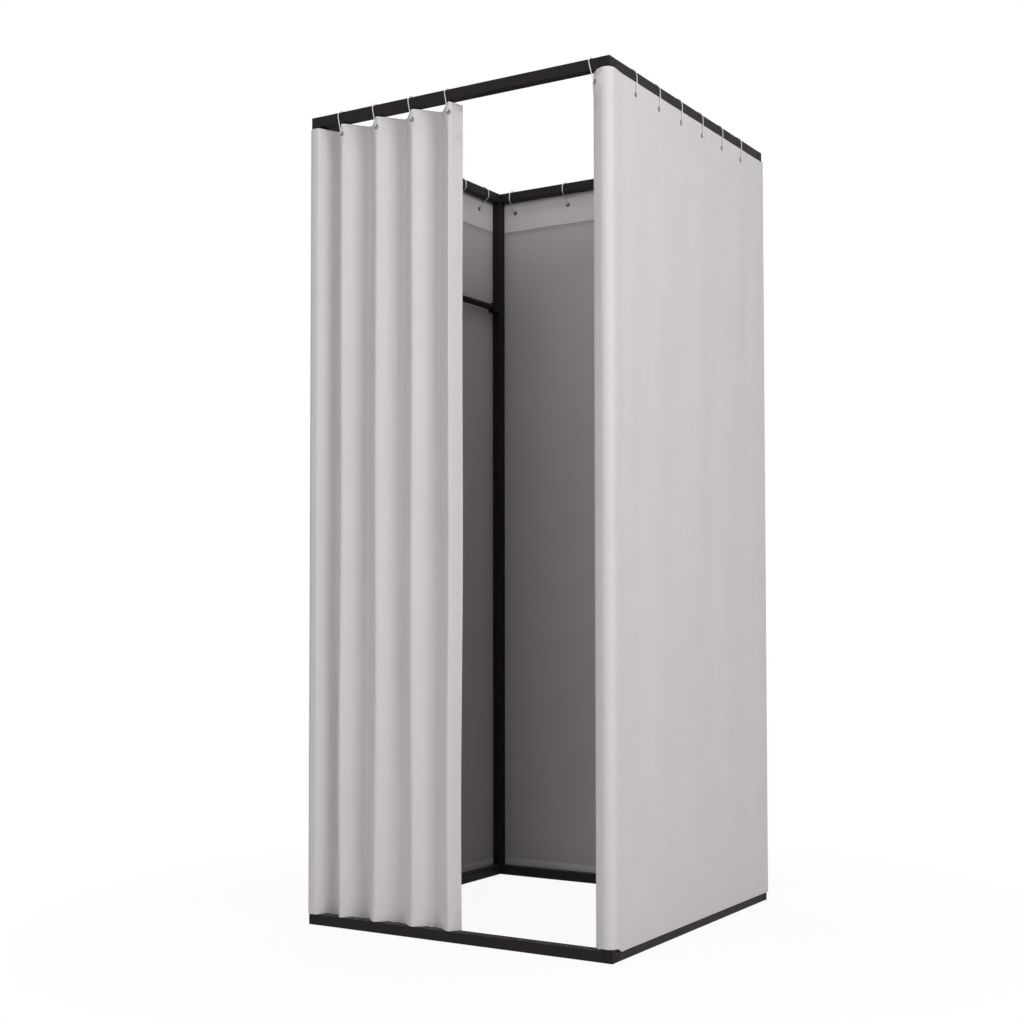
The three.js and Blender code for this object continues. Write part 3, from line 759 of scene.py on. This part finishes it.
# Right cloth: one width that starts as a short lip on the front, its free edge turned in, goes
# round the front post with a soft bulge and closes the whole right side, on seven rings.
turned_top = 1.9735
turn_radius = 0.017
turn_reach = 0.4306
turn_middle = turn_reach - turn_radius
turn_bulge = turn_reach - cloth_plane
bulge_fade = 0.05
side_end = 0.4254
side_lead = 0.01
lip_turn = 0.92
lip_swell = 0.012
lip_rise = 0.007
corner_rise = 0.0035
corner_from = 0.014
corner_fade = 0.016
rise_fade = 0.028
rise_reach = 0.2
lip_dip = 0.0033
dip_until = 0.02
dip_fade = 0.006
dip_reach = 0.03
drape_reach = 0.3
ripple_depth = 0.0022
ripple_pitch = 0.075
ripple_slope = 0.5
ripple_hollow = -0.2
ripple_place = (0.415, 0.83)
ripple_reach = (0.035, 0.1)

lip_angles = np.linspace(lip_turn, 0, num=40)
lip_line = np.stack([
    lip_middle - lip_radius * np.sin(lip_angles),
    lip_radius * (1 - np.cos(lip_angles)) - cloth_plane], axis=-1)
lip_line[:, 1] -= turn_bulge * ease((lip_line[:, 0] - lip_middle + lip_swell) / lip_swell)
lip_out = math.hypot(lip_middle - lip_eyelet, lip_radius - ring_foot_in) - lip_radius
angles = np.linspace(0, math.pi / 2, num=40)
turn_line = np.stack([
    turn_middle + turn_radius * np.sin(angles),
    -turn_middle - turn_radius * np.cos(angles)], axis=-1)
side_places = np.linspace(-turn_middle, side_end, num=400)
side_bulge = turn_bulge * (1 - ease((side_places + turn_middle) / bulge_fade))
side_line = np.stack([cloth_plane + side_bulge, side_places], axis=-1)
right_line = np.concatenate([lip_line, turn_line[:-1], side_line])
right_width = float(lengths_along(right_line)[-1])
turn_done = right_width - (side_end + turn_middle)
lip_hole = lip_radius * (lip_turn - lip_slope)
right_holes = [lip_hole, *(float(right_width - (side_end - y)) for y in right_rings)]


def right_billow(across, up, place):
    """Push and droop of the right cloth, with its rippled rear edge and its lip."""
    y = place[..., 1]
    below = turned_top - up
    on_side = ease((across - turn_done + side_lead) / post_fade)
    drape = puckers(
        y, up, turned_top, right_rings, depth=0.0011, sway=0.05, sway_rate=2, pitch=0.19)
    drape = drape * ease(below / drape_reach)
    swelling = belly(y, up, turned_top, depth=-0.004, bay=0.86)
    push = on_side * off_frame(up, post_face - y) * (drape + swelling)
    ripple = np.sin(2 * math.pi * (up + ripple_slope * y) / ripple_pitch)
    ripple_share = np.exp(
        -((y - ripple_place[0]) / ripple_reach[0]) ** 2
        - ((up - ripple_place[1]) / ripple_reach[1]) ** 2)
    push += ripple_depth * np.clip(ripple, ripple_hollow, 1) * ripple_share
    push *= 1 - near_eyelets(across, up, right_holes)
    push += lip_out * near_eyelets(across, up, [lip_hole])
    droop = sag(y, up, turned_top, right_rings, depth=0.0003) * on_side
    droop += lip_dip * ease((dip_until - across) / dip_fade) * ease(1 - below / dip_reach)
    rise = lip_rise + corner_rise * ease((across - corner_from) / corner_fade)
    rise = rise * ease((turn_done + rise_fade - across) / rise_fade)
    droop -= rise * ease(1 - (up - wall_foot) / rise_reach)
    droop -= lip_eyelet_rise * near_eyelets(across, up, [lip_hole])
    return push, droop


right_cloth = cloth_sheet("right_wall_cloth", right_width, wall_foot, turned_top, wall_hem,
                          step=0.006, holes=right_holes, shape=hung(right_line, right_billow))
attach(right_cloth, "frame")
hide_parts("right_cloth")

# Back cloth: a flat width that closes the back, on five rings. It covers the rear edges of the
# two side cloths, and its foot laps over the base rail.
back_reach = 0.4278
back_width = 2 * back_reach
back_line = np.array([(back_reach, cloth_plane), (-back_reach, cloth_plane)])
back_holes = [back_reach - x for x in back_rings]


def back_billow(across, up, place):
    """Push and droop of the back cloth."""
    x = place[..., 0]
    drape = puckers(
        x, up, wall_top, back_rings, depth=0.0013, sway=0.04, sway_rate=2.3, pitch=0.23)
    swelling = belly(x, up, wall_top, depth=0.003, bay=0.86)
    push = off_frame(up, post_face - abs(x)) * (drape + swelling)
    push *= 1 - near_eyelets(across, up, back_holes)
    return push, sag(x, up, wall_top, back_rings, depth=0.0005)


back_cloth = cloth_sheet("back_wall_cloth", back_width, wall_foot, wall_top, wall_hem,
                         step=0.007, holes=back_holes, shape=hung(back_line, back_billow))
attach(back_cloth, "frame")
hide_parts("back_cloth")

# Left cloth: a flat width of the same cloth that closes the left side, on six rings. It stops
# just short of the front curtain's return.
left_front = -0.387
left_flat_until = -0.38
left_line = np.array([(-cloth_plane, side_end), (-cloth_plane, left_front)])
left_width = side_end - left_front
left_holes = [side_end - y for y in left_rings]


def left_billow(across, up, place):
    """Push and droop of the left cloth."""
    y = place[..., 1]
    drape = puckers(
        y, up, wall_top, left_rings, depth=0.0012, sway=0.06, sway_rate=1.9, pitch=0.21)
    swelling = belly(y, up, wall_top, depth=0.003, bay=0.84)
    push = off_frame(up, post_face - y, y - left_flat_until) * (drape + swelling)
    push *= 1 - near_eyelets(across, up, left_holes)
    return push, sag(y, up, wall_top, left_rings, depth=0.0005)


left_cloth = cloth_sheet("left_wall_cloth", left_width, wall_foot, wall_top, wall_hem,
                         step=0.007, holes=left_holes, shape=hung(left_line, left_billow))
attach(left_cloth, "frame")
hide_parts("left_cloth")

# Front curtain: the same cloth gathered into soft zigzag pleats, each with its crest at a ring,
# and turned round the front left post.
curtain_foot = 0.0266
curtain_top = 1.9695
curtain_hem = 0.035
first_crest = -0.4
first_pleat_skew = 1.14
last_crest = len(curtain_rings)
pleat_pitch = 0.1067
pleat_depth = 0.048
pleat_rounding = 0.05
pleat_fade = 0.03
pleat_settle = 0.016
settle_from = 1.5
pleat_lean = 0.007
pleat_wander = 0.003
wander_height = 1.25
wander_step = 0.37
lead_share = 0.375
lead_length = 0.015
lead_flare = 0.0115
return_start = -0.391
edge_droop = 0.002
edge_reach = 0.16
foot_droop = 0.0066
foot_reach = 0.12
behind_rail = -0.3992
behind_fade = 0.0045

turn_angles = np.linspace(0, math.pi / 2, num=30)
return_places = np.linspace(return_start, -turn_middle, num=12)
return_bulge = turn_bulge * ease((return_start - return_places) / (return_start + turn_middle))
return_line = np.stack([-cloth_plane - return_bulge, return_places], axis=-1)
left_turn = np.stack([
    -turn_middle - turn_radius * np.cos(turn_angles),
    -turn_middle - turn_radius * np.sin(turn_angles)], axis=-1)
flat_places = np.linspace(-turn_middle, first_crest, num=8)
left_flat = np.stack([flat_places, np.full_like(flat_places, -turn_reach)], axis=-1)


def pleat_share(phase):
    """How deep a pleat is at a phase: 0 at its crest, 1 at its valley, straight between."""
    crest = math.acos(1 - pleat_rounding)
    wave = np.arccos((1 - pleat_rounding) * np.cos(2 * math.pi * phase))
    return (wave - crest) / (math.pi - 2 * crest)


def pleat(phase):
    """Plan of the pleats; phase is 0 beside the left post and 1 to 4 at the rings."""
    early = np.minimum(phase, 1)
    late = np.maximum(phase - last_crest, 0)
    place = first_crest + (curtain_rings[0] - first_crest) * early ** first_pleat_skew
    place += pleat_pitch * (phase - early - late) + lead_length * late / lead_share
    crest = cloth_plane + turn_bulge * (1 - early)
    return place, pleat_depth * pleat_share(phase) - crest


phases = np.linspace(0, last_crest + lead_share, num=800)
pleat_line = np.stack(pleat(phases), axis=-1)
before_pleats = np.concatenate([return_line, left_turn[1:], left_flat[1:-1]])
curtain_line = np.concatenate([before_pleats, pleat_line])
curtain_lengths = lengths_along(curtain_line)
curtain_width = float(curtain_lengths[-1])
phase_lengths = curtain_lengths[len(before_pleats):]
pleats_from = float(phase_lengths[0])
curtain_holes = [float(at) for at in np.interp(ring_numbers["curtain"], phases, phase_lengths)]


def curtain_shape(across, up):
    """Points of the pleated curtain, whose pleats settle and lean over towards the foot."""
    place, _ = along_line(curtain_line, across)
    phase = np.interp(across, phase_lengths, phases)
    depth = pleat_share(phase)
    heading_foot = curtain_top - heading_depth
    fall = np.clip((heading_foot - up) / (heading_foot - curtain_foot), 0, 1)
    on_pleats = ease((across - pleats_from) / pleat_fade)
    settled = pleat_settle * fall * depth * np.clip(phase - settle_from, 0, 1)
    leaning = pleat_lean * fall * depth
    turns = up / wander_height + wander_step * np.round(phase)
    wander = pleat_wander * fall * np.sin(2 * math.pi * turns)
    flare = lead_flare * fall * np.clip((phase - last_crest) / lead_share, 0, 1)
    x = place[..., 0] + on_pleats * (wander - leaning + flare)
    y = place[..., 1] - on_pleats * settled
    flat = near_eyelets(across, up, curtain_holes)
    y = y + (-cloth_plane - y) * flat
    top_droop = edge_droop * depth * on_pleats * ease((up - curtain_top + edge_reach) / edge_reach)
    hem_droop = foot_droop * ease((y - behind_rail) / behind_fade)
    hem_droop = hem_droop * ease(1 - (up - curtain_foot) / foot_reach)
    return np.stack([x, y, up - top_droop - hem_droop], axis=-1)


curtain = cloth_sheet("pleated_curtain", curtain_width, curtain_foot, curtain_top, curtain_hem,
                      step=0.0035, holes=curtain_holes, shape=curtain_shape)
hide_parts("front_curtain")
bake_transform(curtain)
